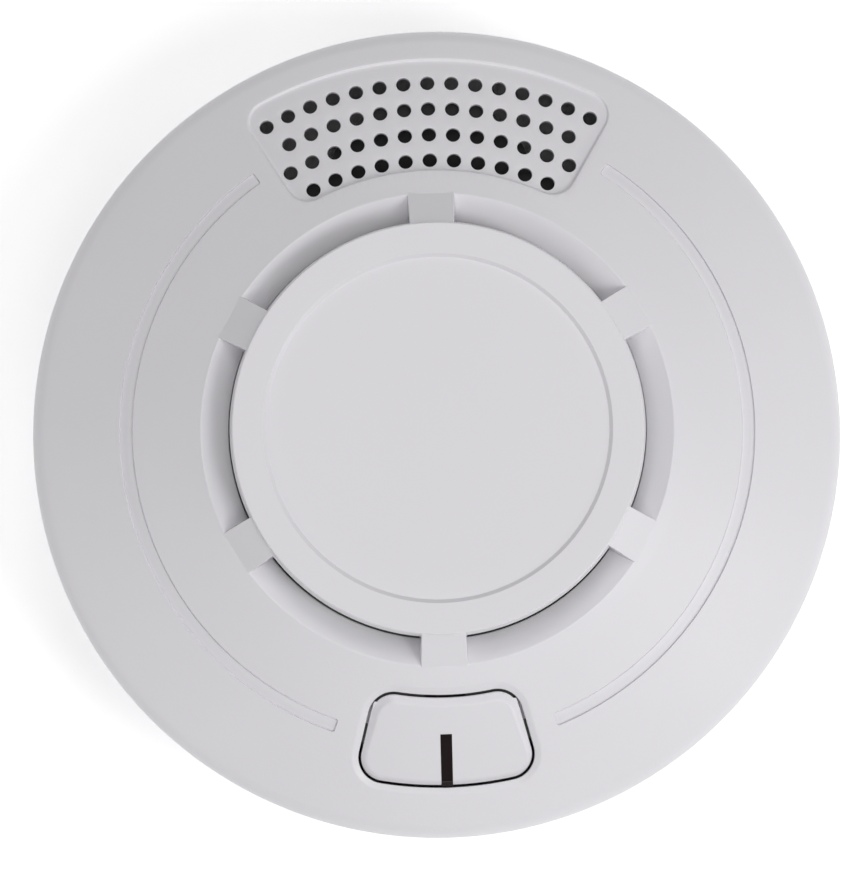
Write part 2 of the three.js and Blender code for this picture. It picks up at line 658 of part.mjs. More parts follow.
const casings = new THREE.Group();
casings.add(
  piece('mounting_bracket', mountingBracket(), casePlastic()),
  piece('rear_case', rearCase(), casePlastic()),
  piece('front_cover', frontCover(), coverPlastic()),
);
CASE_SCREW.angles.forEach((direction, index) => {
  const [x, y] = onCircle(CASE_SCREW.circle, direction);
  casings.add(placed(piece(`case_screw_${index + 1}`, caseScrew(), metal(0x9a9ca0)), x, y, CASE_BACK_Z + GAP));
});

const button = new THREE.Group();
button.add(
  piece('test_button', testButton(), coverPlastic()),
  piece('light_window', lightWindow(), finish(0x241a20, 0.15)),
  piece('test_switch_body', switchBody(), blackPlastic()),
  piece('test_switch_plunger', switchPlunger(), finish(0x2b2b2e, 0.5)),
  placed(piece('button_spring_left', buttonSpring(), metal(0xb4b6ba)), -SPRING.x, SPRING.y, PART_Z),
  placed(piece('button_spring_right', buttonSpring(), metal(0xb4b6ba)), SPRING.x, SPRING.y, PART_Z),
);

const electronics = new THREE.Group();
electronics.add(
  piece('circuit_board', circuitBoard(), finish(0x1d5a34, 0.45)),
  placed(piece('microcontroller', microcontroller(), blackPlastic()), -33, -6, BOARD_TOP_Z),
  placed(piece('indicator_led', indicatorLed(), finish(0xd8d2c4, 0.4)), 0, -39.8, PART_Z),
  placed(piece('electrolytic_capacitor', electrolyticCapacitor(), finish(0x1b2340, 0.35)), 37, 12, BOARD_Z - 7.8),
  placed(piece('boost_inductor', boostInductor(), finish(0x3a3735, 0.6)), -34, 13, BOARD_Z - 6.9),
);

const power = new THREE.Group();
power.add(
  piece('battery_body', batteryBody(), finish(0x2d3138, 0.3, 0.4)),
  piece('battery_terminal_positive', batteryTerminal(1), metal(0xc4c0b4)),
  piece('battery_terminal_negative', batteryTerminal(-1), metal(0xc4c0b4)),
  piece('battery_snap', batterySnap(), blackPlastic()),
  piece('battery_lead_red', batteryLead(1), finish(0xb01818, 0.45)),
  piece('battery_lead_black', batteryLead(-1), finish(0x151515, 0.45)),
);

const sounder = new THREE.Group();
sounder.add(
  piece('sounder_housing', sounderHousing(), blackPlastic()),
  piece('sounder_plate', sounderPlate(), metal(0xc49a4a)),
  piece('sounder_ceramic', sounderCeramic(), finish(0xd9d4c6, 0.4)),
  piece('sounder_wire_red', sounderWire(1), finish(0xb01818, 0.45)),
  piece('sounder_wire_black', sounderWire(-1), finish(0x151515, 0.45)),
);

const sensor = new THREE.Group();
sensor.add(
  piece('chamber_base', chamberBase(), blackPlastic()),
  piece('chamber_cover', chamberCover(), blackPlastic()),
  piece('insect_screen', insectScreen(), metal(0x55565a)),
  piece('infrared_emitter', opticPart(OPTIC_DIRECTIONS[0]), finish(0x1c1a2c, 0.1)),
  piece('light_receiver', opticPart(OPTIC_DIRECTIONS[1]), finish(0x101014, 0.1)),
);

const alarm = new THREE.Group();
alarm.add(casings, button, electronics, power, sounder, sensor);

export default alarm;
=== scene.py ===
"""The looks of a round ceiling smoke alarm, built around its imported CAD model.

Lengths are metres. The alarm lies on its back: z = 0 is the ceiling side of the mounting bracket,
+Z comes out of the face, the sounder grille is on the +Y side and the test button on the -Y side.
"""

import math

import bmesh
import bpy
import numpy as np
from mathutils import Matrix, Vector, geometry


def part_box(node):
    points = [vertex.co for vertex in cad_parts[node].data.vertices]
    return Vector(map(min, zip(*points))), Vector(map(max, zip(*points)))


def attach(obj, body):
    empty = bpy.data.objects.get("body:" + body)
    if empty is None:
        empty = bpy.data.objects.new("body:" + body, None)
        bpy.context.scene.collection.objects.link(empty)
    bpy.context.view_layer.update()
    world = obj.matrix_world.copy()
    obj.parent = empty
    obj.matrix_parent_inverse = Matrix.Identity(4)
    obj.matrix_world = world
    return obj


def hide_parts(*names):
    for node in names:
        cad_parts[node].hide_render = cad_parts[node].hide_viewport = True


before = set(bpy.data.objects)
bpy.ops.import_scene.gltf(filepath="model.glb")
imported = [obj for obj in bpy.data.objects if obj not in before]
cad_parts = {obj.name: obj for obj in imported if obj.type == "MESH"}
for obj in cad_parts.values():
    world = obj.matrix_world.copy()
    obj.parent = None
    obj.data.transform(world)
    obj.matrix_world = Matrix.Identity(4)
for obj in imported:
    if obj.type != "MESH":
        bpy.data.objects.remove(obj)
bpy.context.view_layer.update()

MM = 0.001


def box_mm(node):
    """The lowest and highest corner of a CAD node, in millimetres."""
    low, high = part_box(node)
    return low / MM, high / MM


# ------------------------------------------------------------------ dimensions, in millimetres and degrees

COVER_LOW, COVER_HIGH = box_mm("front_cover")
CASE_RADIUS = box_mm("rear_case")[1].x
WINDOW_LOW, WINDOW_HIGH = box_mm("light_window")
SCREEN_LOW, SCREEN_HIGH = box_mm("insect_screen")

RIM_RADIUS = COVER_HIGH.x
CAP_TOP = COVER_HIGH.z
SEAM = COVER_LOW.z
WALL = 2.0
DRAFT = CASE_RADIUS - RIM_RADIUS  # the wall pulls in by this much at the seam
SHOULDER = 3.0  # round between the face and the side wall
SHOULDER_CORNER_R = RIM_RADIUS + 0.04  # the sharp corner that the shoulder rounds off
EDGE_ROUND, SMALL_ROUND = 0.3, 0.2

FACE_INNER_R = 30.2
FACE_INNER_Z = CAP_TOP - 4.47
FACE_SLOPE = 0.4444
FACE_START_R = FACE_INNER_R + 1.6  # the face is filled between these two radii, and turned past them
FACE_OUTER_R = RIM_RADIUS - SHOULDER - 0.45
SKIN = WALL * math.hypot(1, FACE_SLOPE)
INLET_RADIUS = 26.7
MOAT_Z = CAP_TOP - 5.9
COLLAR_BOTTOM = MOAT_Z - 6.2
COLLAR_WALL = 1.2
TURNS = 360  # points round every full circle of the cover
LONG_ARC = 160  # points on a long arc of an outline, before it is divided evenly

CAP_RADIUS = 26.1
SKIRT_RADIUS = 26.5
SKIRT_BOTTOM = CAP_TOP - 3.0
SKIRT_ROUND = 0.15
CAP_PLATE = CAP_TOP - 2.5
RECESS_RADIUS = 21.95  # middle of the wall round the cap's shallow recess
RECESS_WALL_WIDTH = 0.45
RECESS_DEPTH = 0.4
RECESS_ROUND = 0.08

RIB_COUNT = 6
RIB_WIDTH = 5.6  # at the cap
RIB_TOE_WIDTH = 6.0
RIB_FLARE = 0.25  # how much wider each side is at its foot
RIB_START = 0.35  # how far inside the cap's corner a rib begins
RIB_TOE_OUT, RIB_TOE_RISE = 0.4, 0.2  # how far a rib reaches past the face's edge, and stands above it
RIB_KNEE_BACK, RIB_KNEE_ROUND = 0.45, 0.7
RIB_TOE_SUNK = 0.1
RIB_EDGE = 0.12
RIB_STEP_R = INLET_RADIUS + 0.5  # in the collar's wall, where the bottom of a rib steps up
RIB_STEP_LENGTH = 0.002  # part of the rib's length
RIB_ROOT_Z = COLLAR_BOTTOM + 2
RIB_BURIED_Z = MOAT_Z - 0.9

GROOVE_INNER, GROOVE_OUTER, GROOVE_DEPTH = 39.1, 40.9, 0.35
GROOVE_CORNER = 0.35
GROOVE_FROM_TOP, GROOVE_FROM_BOTTOM = 33.8, 20.5

GRILLE_ROWS = ((45.2, 15), (41.7, 13), (38.2, 13), (34.75, 11))  # radius, and number of holes
GRILLE_PITCH = 3.11
HOLE_RADIUS = 0.93
HOLE_SIDES = 28
PANEL = {"inner": 33.2, "outer": 48.6, "middle": 90, "half": 30.6, "corner": 3.2}
PANEL_DEPTH_OUTER, PANEL_DEPTH_INNER = 0.35, 0.8

BUTTON = {"inner": 34.2, "outer": 45.5, "middle": 270, "half": 14.9, "corner": 3.0}
BUTTON_GAP = 0.35
BUTTON_LIP = -0.42  # depth of the face's bevel where it meets the gap round the button
BUTTON_RIM = -0.9  # depth of the button's own bevel there
BUTTON_BEVEL = 1.15  # its width
BUTTON_EDGE = 0.12
BUTTON_THICKNESS = 1.6
BUTTON_PROUD = 0.02  # relief of the button's face at its inner end
BUTTON_SINK = BUTTON_LIP - 0.1  # how that relief changes to the outer end
BEVEL_BLEND = 0.045

WINDOW_PROUD, WINDOW_DEPTH = 0.03, 1.5
WINDOW_EDGE = 0.03
WINDOW_STEPS = 24

GAP = 0.3  # clearance between pieces that rest on or run in each other
STEM_RADIUS, STEM_GAP = 1.4, 0.6
SPRING_SEAT = 2.4  # radius
LUG = {"inner": 35.6, "outer": 38.6, "corner": 0.2}
LUG_LEG, LUG_HOOK = (13, 14.8), (13, 17.2)  # angles from the middle of the button
LUG_THICKNESS = 1.0
BOSS_RADIUS, BOSS_BORE, BOSS_DEPTH = 3.2, 1.65, 13.0
POST_SIDES = 32

SCREEN_INSET, SCREEN_END = 0.25, 0.2  # how far its wires lie inside the CAD ring, and from its ends
SCREEN_AROUND, SCREEN_UP = 132, 12
WIRE = 0.22

CASE_ROUND, BRACKET_ROUND = 0.25, 0.3
ROUND_FROM_R = 20  # walls closer to the axis than this keep their facets
LONGEST_FACET = 0.14  # of its radius


def face_height(radius):
    """Height of the sloping face at a distance from the axis."""
    return FACE_INNER_Z - (radius - FACE_INNER_R) * FACE_SLOPE


# ------------------------------------------------------------------ outlines

def arc(centre, radius, start, end, count=24):
    """Points on a circle from one angle to another, in degrees."""
    angles = np.radians(np.linspace(start, end, count))
    return np.column_stack((centre[0] + radius * np.cos(angles), centre[1] + radius * np.sin(angles)))


def polar(radius, degrees):
    return radius * math.cos(math.radians(degrees)), radius * math.sin(math.radians(degrees))


def resample(points, step):
    """A closed outline again, with points at even steps."""
    closed = np.vstack((points, points[:1]))
    lengths = np.linalg.norm(np.diff(closed, axis=0), axis=1)
    along = np.concatenate(([0.0], np.cumsum(lengths)))
    count = max(12, round(along[-1] / step))
    at = np.linspace(0, along[-1], count, endpoint=False)
    return np.column_stack((np.interp(at, along, closed[:, 0]), np.interp(at, along, closed[:, 1])))


def ring_outline(inner, outer, middle, half, corner, step=0.35):
    """The anticlockwise outline of a piece of a ring with rounded corners."""
    far, near = outer - corner, inner + corner
    far_turn = math.degrees(math.asin(corner / far))
    near_turn = math.degrees(math.asin(corner / near))
    low, high = middle - half, middle + half
    pieces = (
        arc((0, 0), outer, low + far_turn, high - far_turn, LONG_ARC),
        arc(polar(far, high - far_turn), corner, high - far_turn, high + 90),
        arc(polar(near, high - near_turn), corner, high + 90, high + 180 - near_turn),
        arc((0, 0), inner, high - near_turn, low + near_turn, LONG_ARC),
        arc(polar(near, low + near_turn), corner, low + 180 + near_turn, low + 270),
        arc(polar(far, low + far_turn), corner, low - 90, low + far_turn),
    )
    return resample(np.vstack(pieces), step)


def circle(radius, centre=(0, 0), count=TURNS):
    angles = np.radians(np.arange(count) * 360 / count)
    return np.column_stack((centre[0] + radius * np.cos(angles), centre[1] + radius * np.sin(angles)))


def offset(outline, distance):
    """An anticlockwise outline moved outwards by a distance, or inwards where it is negative."""
    tangent = np.roll(outline, -1, axis=0) - np.roll(outline, 1, axis=0)
    tangent /= np.linalg.norm(tangent, axis=1)[:, None]
    return outline + distance * np.column_stack((tangent[:, 1], -tangent[:, 0]))


def rounded(points, radii, steps=5):
    """A polyline with a round of the given radius at each inner point."""
    points = [np.array(point, float) for point in points]
    result = [points[0]]
    for before, corner, after, radius in zip(points, points[1:], points[2:], radii):
        if radius == 0:
            result.append(corner)
            continue
        to_before = (before - corner) / np.linalg.norm(before - corner)
        to_after = (after - corner) / np.linalg.norm(after - corner)
        half = math.acos(np.clip(np.dot(to_before, to_after), -1, 1)) / 2
        reach = radius / math.tan(half)
        bisector = (to_before + to_after) / np.linalg.norm(to_before + to_after)
        centre = corner + bisector * radius / math.sin(half)
        first = corner + to_before * reach - centre
        last = corner + to_after * reach - centre
        sweep = math.pi - 2 * half
        for index in range(steps + 1):
            part = index / steps
            spread = math.sin(sweep)
            direction = (first * math.sin((1 - part) * sweep) + last * math.sin(part * sweep)) / spread
            result.append(centre + direction)
    result.append(points[-1])
    return result


# ------------------------------------------------------------------ meshes

WELD, FINE_WELD = 0.002, 0.001  # points closer than these, in millimetres, are one


class Shell:
    """Collects the points and faces of one piece in millimetres, then makes one welded mesh of them."""

    def __init__(self):
        self.points = []
        self.faces = []
        self.material_of = []

    def add(self, points, faces, material=0):
        start = len(self.points)
        self.points.extend(tuple(map(float, point)) for point in points)
        self.faces.extend(tuple(start + corner for corner in face) for face in faces)
        self.material_of.extend([material] * len(faces))

    def strips(self, loops, material=0):
        """Joins a list of closed loops, which all have the same number of points, with quads."""
        count = len(loops[0])
        points = [point for loop in loops for point in loop]
        faces = []
        for row in range(len(loops) - 1):
            for column in range(count):
                across = (column + 1) % count
                faces.append((row * count + column, row * count + across,
                              (row + 1) * count + across, (row + 1) * count + column))
        self.add(points, faces, material)

    def lathe(self, profile, material=0):
        """Spins a [radius, z] profile about the axis. A point at radius 0 closes it."""
        angles = np.radians(np.arange(TURNS) * 360 / TURNS)
        loops = [[(r * math.cos(a), r * math.sin(a), z) for a in angles] for r, z in profile]
        self.strips(loops, material=material)

    def fill(self, outlines, height, spacing, material=0, margin=0.45, face_down=False):
        """Triangulates the region inside an odd number of the outlines, at height(x, y)."""
        flat = np.vstack(outlines)
        edges = []
        start = 0
        for outline in outlines:
            count = len(outline)
            edges.extend((start + i, start + (i + 1) % count) for i in range(count))
            start += count
        extra = grid_inside(outlines, flat, spacing, margin)
        points = [Vector(point) for point in np.vstack((flat, extra))]
        made = geometry.delaunay_2d_cdt(points, edges, [], 0, 1e-7)
        corners = np.array([tuple(point) for point in made[0]])
        triangles = np.array([face for face in made[2] if len(face) == 3])
        inside = inside_odd(outlines, corners[triangles].mean(axis=1))
        heights = [height(x, y) for x, y in corners]
        kept = triangles[inside].tolist()
        if face_down:
            kept = [face[::-1] for face in kept]
        self.add(np.column_stack((corners, heights)), kept, material)

    def make(self, name, materials):
        mesh = bpy.data.meshes.new(name)
        mesh.from_pydata([[value * MM for value in point] for point in self.points], [], self.faces)
        for material in materials:
            mesh.materials.append(material)
        mesh.polygons.foreach_set("material_index", self.material_of)
        work = bmesh.new()
        work.from_mesh(mesh)
        bmesh.ops.remove_doubles(work, verts=work.verts, dist=WELD * MM)
        bmesh.ops.dissolve_degenerate(work, edges=work.edges, dist=FINE_WELD * MM)
        bmesh.ops.recalc_face_normals(work, faces=work.faces)
        work.to_mesh(mesh)
        work.free()
        piece = bpy.data.objects.new(name, mesh)
        bpy.context.scene.collection.objects.link(piece)
        smooth(piece)
        return piece


def smooth(piece, angle=40):
    """Smooth shading that leaves flat areas flat, with hard edges past the given angle."""
    mesh = piece.data
    mesh.polygons.foreach_set("use_smooth", [True] * len(mesh.polygons))
    mesh.set_sharp_from_angle(angle=math.radians(angle))
    weighted = piece.modifiers.new("weighted_normals", "WEIGHTED_NORMAL")
    weighted.keep_sharp = True
    weighted.weight = 80


def inside_odd(outlines, points):
    """Whether each point is inside an odd number of the outlines."""
    odd = np.zeros(len(points), bool)
    x, y = points[:, 0], points[:, 1]
    for outline in outlines:
        low, high = outline.min(axis=0), outline.max(axis=0)
        near = np.flatnonzero((x > low[0]) & (x < high[0]) & (y > low[1]) & (y < high[1]))
        for index in range(len(outline)):
            (x0, y0), (x1, y1) = outline[index - 1], outline[index]
            if y0 == y1:
                continue
            crosses = (y0 > y[near]) != (y1 > y[near])
            odd[near] ^= crosses & (x[near] < x0 + (y[near] - y0) * (x1 - x0) / (y1 - y0))
    return odd


def grid_inside(outlines, flat, spacing, margin):
    """Points on circles about the axis, inside the region and clear of its outlines."""
    radii = np.linalg.norm(flat, axis=1)
    rings = []
    for radius in np.arange(radii.min() + spacing, radii.max(), spacing):
        rings.append(circle(radius, count=max(24, round(2 * math.pi * radius / spacing))))
    points = np.vstack(rings)
    points = points[inside_odd(outlines, points)]
    clear = [np.min(np.sum((flat - point) ** 2, axis=1)) > margin ** 2 for point in points]
    return points[np.array(clear, bool)]


def lifted(outline, height):
    return [(x, y, height(x, y)) for x, y in outline]


def level(height):
    return lambda x, y: height


def above_face(relief):
    return lambda x, y: face_height(math.hypot(x, y)) + relief


def middle_of(node):
    """The middle of a CAD node, seen from the front, in millimetres."""
    low, high = box_mm(node)
    return (low.x + high.x) / 2, (low.y + high.y) / 2


def top_of(node):
    return box_mm(node)[1].z


def add_post(shell, centre, radius, foot, top, bore=0.0, bore_top=0.0, material=0):
    """A round post from a level foot up to the surface top(x, y), with a blind bore where one is given."""
    rings = [(radius, top), (radius, level(foot))]
    if bore:
        rings += [(bore, level(foot)), (bore, level(bore_top))]
    loops = [lifted(circle(size, centre, POST_SIDES), height) for size, height in rings]
    shell.strips(loops, material=material)
    shell.add(loops[-1], [tuple(range(POST_SIDES))], material)


def add_prism(shell, outline, bottom, top):
    """A solid over an outline, between two surfaces."""
    shell.strips([lifted(outline, bottom), lifted(outline, top)])
    shell.fill([outline], bottom, spacing=1.0, face_down=True)
    shell.fill([outline], top, spacing=1.0)


# ------------------------------------------------------------------ materials

def new_material(name, colour, roughness, metallic=0.0, coat=0.0):
    """A Principled material with these uniform values, and its nodes, ready for detail."""
    material = bpy.data.materials.new(name)
    material.use_nodes = True
    tree = material.node_tree
    shader = tree.nodes["Principled BSDF"]
    shader.inputs["Base Color"].default_value = (*colour, 1)
    shader.inputs["Roughness"].default_value = roughness
    shader.inputs["Metallic"].default_value = metallic
    shader.inputs["Coat Weight"].default_value = coat
    return material, tree, shader


def noise(tree, scale, detail=2.0, stretch=(1, 1, 1)):
    """Noise over the piece's own coordinates. The scale counts features in a metre."""
    place = tree.nodes.new("ShaderNodeTexCoord")
    mapping = tree.nodes.new("ShaderNodeMapping")
    mapping.inputs["Scale"].default_value = stretch
    texture = tree.nodes.new("ShaderNodeTexNoise")
    texture.inputs["Scale"].default_value = scale
    texture.inputs["Detail"].default_value = detail
    tree.links.new(place.outputs["Object"], mapping.inputs["Vector"])
    tree.links.new(mapping.outputs["Vector"], texture.inputs["Vector"])
    return texture.outputs["Fac"]


def vary_colour(tree, shader, factor, dark, light):
    ramp = tree.nodes.new("ShaderNodeMix")
    ramp.data_type = "RGBA"
    ramp.inputs["A"].default_value = (*dark, 1)
    ramp.inputs["B"].default_value = (*light, 1)
    tree.links.new(factor, ramp.inputs["Factor"])
    tree.links.new(ramp.outputs["Result"], shader.inputs["Base Color"])


def vary_roughness(tree, shader, factor, low, high):
    span = tree.nodes.new("ShaderNodeMapRange")
    span.inputs["To Min"].default_value = low
    span.inputs["To Max"].default_value = high
    tree.links.new(factor, span.inputs["Value"])
    tree.links.new(span.outputs["Result"], shader.inputs["Roughness"])


def add_bump(tree, shader, height, distance, strength):
    bump = tree.nodes.new("ShaderNodeBump")
    bump.inputs["Distance"].default_value = distance
    bump.inputs["Strength"].default_value = strength
    tree.links.new(height, bump.inputs["Height"])
    tree.links.new(bump.outputs["Normal"], shader.inputs["Normal"])


def shaded(colour, part):
    return tuple(channel * part for channel in colour)


def moulded_plastic(name, colour, roughness, grain, grain_depth, mottle=0.03):
    """Moulded plastic: faint flow mottling, and a spark-eroded grain of the given number a metre."""
    material, tree, shader = new_material(name, colour, roughness)
    vary_colour(tree, shader, noise(tree, 45, 3), shaded(colour, 1 - mottle), shaded(colour, 1 + mottle))
    fine = noise(tree, grain, 3)
    vary_roughness(tree, shader, fine, roughness - 0.05, roughness + 0.06)
    add_bump(tree, shader, fine, grain_depth, 0.6)
    return material


def brushed_metal(name, colour, roughness, stretch=(1, 1, 12)):
    material, tree, shader = new_material(name, colour, roughness, metallic=1.0)
    lines = noise(tree, 900, 3, stretch)
    vary_colour(tree, shader, lines, shaded(colour, 0.85), shaded(colour, 1.1))
    vary_roughness(tree, shader, lines, roughness - 0.08, roughness + 0.1)
    add_bump(tree, shader, lines, 0.00001, 0.4)
    return material


def polished_plastic(name, colour, roughness):
    material, tree, shader = new_material(name, colour, roughness, coat=0.4)
    soft = noise(tree, 350, 2)
    vary_colour(tree, shader, soft, shaded(colour, 0.8), shaded(colour, 1.3))
    vary_roughness(tree, shader, soft, roughness, roughness + 0.06)
    return material


COVER_COLOUR = (0.845, 0.83, 0.86)
CASE_COLOUR = (0.82, 0.81, 0.84)


def make_materials():
    return {
        "cover_grain": moulded_plastic("cover_grain", COVER_COLOUR, 0.46, 2600, 0.00003),
        "cover_smooth": moulded_plastic("cover_smooth", COVER_COLOUR, 0.4, 1500, 0.000006, 0.015),
        "case": moulded_plastic("case_plastic", CASE_COLOUR, 0.48, 2600, 0.00003),
        "black": moulded_plastic("chamber_plastic", (0.012, 0.012, 0.013), 0.62, 2600, 0.00003, 0.2),
        "window": polished_plastic("dark_window", (0.014, 0.008, 0.008), 0.12),
        "mesh": brushed_metal("screen_mesh", (0.24, 0.24, 0.25), 0.42),
        "steel": brushed_metal("zinc_steel", (0.55, 0.56, 0.58), 0.32),
        "brass": brushed_metal("rolled_brass", (0.60, 0.42, 0.16), 0.3, (1, 8, 1)),
        "nickel": brushed_metal("nickel_plate", (0.66, 0.64, 0.58), 0.22),
        "board": polished_plastic("solder_mask", (0.03, 0.13, 0.05), 0.32),
        "epoxy": moulded_plastic("moulded_epoxy", (0.02, 0.02, 0.022), 0.5, 3200, 0.00002, 0.2),
        "led": polished_plastic("milky_epoxy", (0.62, 0.58, 0.48), 0.2),
        "infrared": polished_plastic("infrared_epoxy", (0.02, 0.015, 0.04), 0.08),
        "sleeve": polished_plastic("shrunk_sleeve", (0.012, 0.02, 0.06), 0.25),
        "ferrite": moulded_plastic("sintered_ferrite", (0.05, 0.045, 0.042), 0.65, 1800, 0.00004, 0.15),
        "jacket": polished_plastic("battery_jacket", (0.05, 0.055, 0.065), 0.26),
        "snap": moulded_plastic("snap_plastic", (0.015, 0.015, 0.015), 0.5, 2600, 0.00003, 0.2),
        "red_wire": polished_plastic("red_insulation", (0.45, 0.02, 0.02), 0.34),
        "black_wire": polished_plastic("black_insulation", (0.015, 0.015, 0.015), 0.34),
        "sounder": moulded_plastic("sounder_plastic", (0.02, 0.02, 0.022), 0.5, 2200, 0.00003, 0.2),
        "ceramic": moulded_plastic("silvered_ceramic", (0.68, 0.65, 0.56), 0.4, 3000, 0.00002),
    }


# ------------------------------------------------------------------ front cover

GRAIN, PLAIN = 0, 1  # the cover's two material slots

# How the recesses fall: distance in from the edge, and part of the depth.
PANEL_FALL = ((0, 0), (0.06, 0.03), (0.12, 0.14), (0.21, 0.5), (0.3, 0.86), (0.36, 0.97), (0.42, 1))
GROOVE_FALL = ((0, 0), (0.02, 0.1), (0.05, 1.3), (0.11, 1.35), (0.17, 1.05), (0.24, 1))

# How a grille hole's edge falls: distance out from the hole's wall, and depth.
HOLE_EDGE = ((0.06, 0), (0.03, 0.008), (0.01, 0.025), (0, 0.06))

# How the cover falls towards the gap round the button: distance out from the gap, and relief.
LIP = ((0.95, 0), (0.82, -0.015), (0.7, -0.06), (0.45, -0.19), (0.22, -0.31), (0.1, -0.37),
       (0.03, -0.43), (0, -0.52))


def panel_depth(radius):
    part = (radius - PANEL["inner"]) / (PANEL["outer"] - PANEL["inner"])
    return PANEL_DEPTH_INNER + part * (PANEL_DEPTH_OUTER - PANEL_DEPTH_INNER)


def panel_floor(x, y):
    radius = math.hypot(x, y)
    return face_height(radius) - panel_depth(radius)


underside = above_face(-SKIN)


def grille_centres():
    for radius, count in GRILLE_ROWS:
        step = math.degrees(GRILLE_PITCH / radius)
        for index in range(count):
            yield polar(radius, 90 + (index - (count - 1) / 2) * step)


def groove_outline(side):
    half = (180 - GROOVE_FROM_TOP - GROOVE_FROM_BOTTOM) / 2
    middle = 90 + side * (GROOVE_FROM_TOP + half)
    return ring_outline(GROOVE_INNER, GROOVE_OUTER, middle, half, GROOVE_CORNER, step=0.15)


def recess_loops(outline, fall, depth_at):
    """Loops that follow the given fall down from the face into a recess."""
    loops = []
    for across, part in fall:
        moved = offset(outline, -across)
        radii = np.hypot(moved[:, 0], moved[:, 1])
        loops.append([(x, y, face_height(r) - part * depth_at(r)) for (x, y), r in zip(moved, radii)])
    return loops


def flat_part(loop):
    return np.array([point[:2] for point in loop])


def outer_skin_profile():
    """The shoulder, the side wall and the wall's inside, from the face round to its underside."""
    foot = RIM_RADIUS + DRAFT
    return rounded(
        [(FACE_OUTER_R, face_height(FACE_OUTER_R)), (SHOULDER_CORNER_R, face_height(SHOULDER_CORNER_R)),
         (foot, SEAM), (foot - WALL, SEAM),
         (RIM_RADIUS - WALL, face_height(RIM_RADIUS) - SKIN - EDGE_ROUND),
         (FACE_OUTER_R, face_height(FACE_OUTER_R) - SKIN)],
        [SHOULDER, EDGE_ROUND, SMALL_ROUND, SHOULDER - WALL], steps=12,
    )


def inner_skin_profile():
    """The moat round the inlet and the collar under it, from the face round to its underside."""
    collar = INLET_RADIUS + COLLAR_WALL
    return rounded(
        [(FACE_START_R, face_height(FACE_START_R)), (FACE_INNER_R, FACE_INNER_Z), (INLET_RADIUS, MOAT_Z),
         (INLET_RADIUS, COLLAR_BOTTOM), (collar, COLLAR_BOTTOM), (collar, MOAT_Z - WALL / 2),
         (FACE_INNER_R, FACE_INNER_Z - SKIN), (FACE_START_R, face_height(FACE_START_R) - SKIN)],
        [EDGE_ROUND, SMALL_ROUND, SMALL_ROUND, SMALL_ROUND, 0, 0], steps=8,
    )


def add_face(shell):
    """The sloping face with its grooves, grille panel and button opening, and its underside."""
    rims = [circle(FACE_OUTER_R), circle(FACE_START_R)]
    panel = ring_outline(**PANEL)
    opening = offset(ring_outline(**BUTTON), BUTTON_GAP)
    grooves = [groove_outline(side) for side in (-1, 1)]
    face_edges = rims + [panel, offset(opening, LIP[0][0])] + grooves
    shell.fill(face_edges, above_face(0), spacing=1.3, material=GRAIN)

    for groove in grooves:
        loops = recess_loops(groove, GROOVE_FALL, lambda radius: GROOVE_DEPTH)
        shell.strips(loops, material=PLAIN)
        bottom = [flat_part(loops[-1])]
        shell.fill(bottom, above_face(-GROOVE_DEPTH), spacing=0.6, material=PLAIN, margin=0.25)

    panel_loops = recess_loops(panel, PANEL_FALL, panel_depth)
    shell.strips(panel_loops, material=PLAIN)
    holes = list(grille_centres())
    rim = HOLE_RADIUS + HOLE_EDGE[0][0]
    hole_rims = [circle(rim, centre, HOLE_SIDES) for centre in holes]
    panel_edges = [flat_part(panel_loops[-1])] + hole_rims
    shell.fill(panel_edges, panel_floor, spacing=1.0, material=PLAIN, margin=0.3)
    for centre in holes:
        loops = []
        for out, down in HOLE_EDGE:
            ring = circle(HOLE_RADIUS + out, centre, HOLE_SIDES)
            loops.append(lifted(ring, lambda x, y, down=down: panel_floor(x, y) - down))
        loops.append(lifted(circle(HOLE_RADIUS, centre, HOLE_SIDES), underside))
        shell.strips(loops, material=PLAIN)

    lip_loops = [lifted(offset(opening, out), above_face(relief)) for out, relief in LIP]
    lip_loops.append(lifted(opening, underside))
    shell.strips(lip_loops, material=PLAIN)
    below = rims + [circle(HOLE_RADIUS, centre, HOLE_SIDES) for centre in holes] + [opening]
    shell.fill(below, underside, spacing=2.0, material=PLAIN, face_down=True)


def add_radial_bar(shell, path, widths, edge, flare, base, direction, material):
    """A bar along a [radius, z] path with rounded top edges. It widens by the flare down to base(radius)."""
    rounds = [math.radians(angle) for angle in (0, 22.5, 45, 67.5, 90)]
    path = [np.array(point, float) for point in path]
    spread = np.interp([point[0] for point in path], (path[0][0], path[-1][0]), widths) / 2
    turn = Matrix.Rotation(math.radians(direction), 4, "Z")
    loops = []
    for index, (point, half) in enumerate(zip(path, spread)):
        along = path[min(index + 1, len(path) - 1)] - path[max(index - 1, 0)]
        along /= np.linalg.norm(along)
        inward = np.array((along[1], -along[0]))
        right = [(half - edge + edge * math.cos(a), edge - edge * math.sin(a)) for a in rounds]
        section = right + [(-across, drop) for across, drop in reversed(right)]
        top = [(*(point + inward * drop), across) for across, drop in section]
        foot = base(point[0])
        loop = [(point[0], foot, half + flare)] + top + [(point[0], foot, -half - flare)]
        loops.append([tuple(turn @ Vector((r, across, z))) for r, z, across in loop])
    shell.strips(loops, material=material)
    for end in (loops[0], loops[-1]):
        shell.add(end, [tuple(range(len(end)))], material)


def rib_base(radius):
    """The bottom of a rib: inside the collar, then buried in the skin under the moat."""
    return RIB_ROOT_Z if radius < RIB_STEP_R else RIB_BURIED_Z


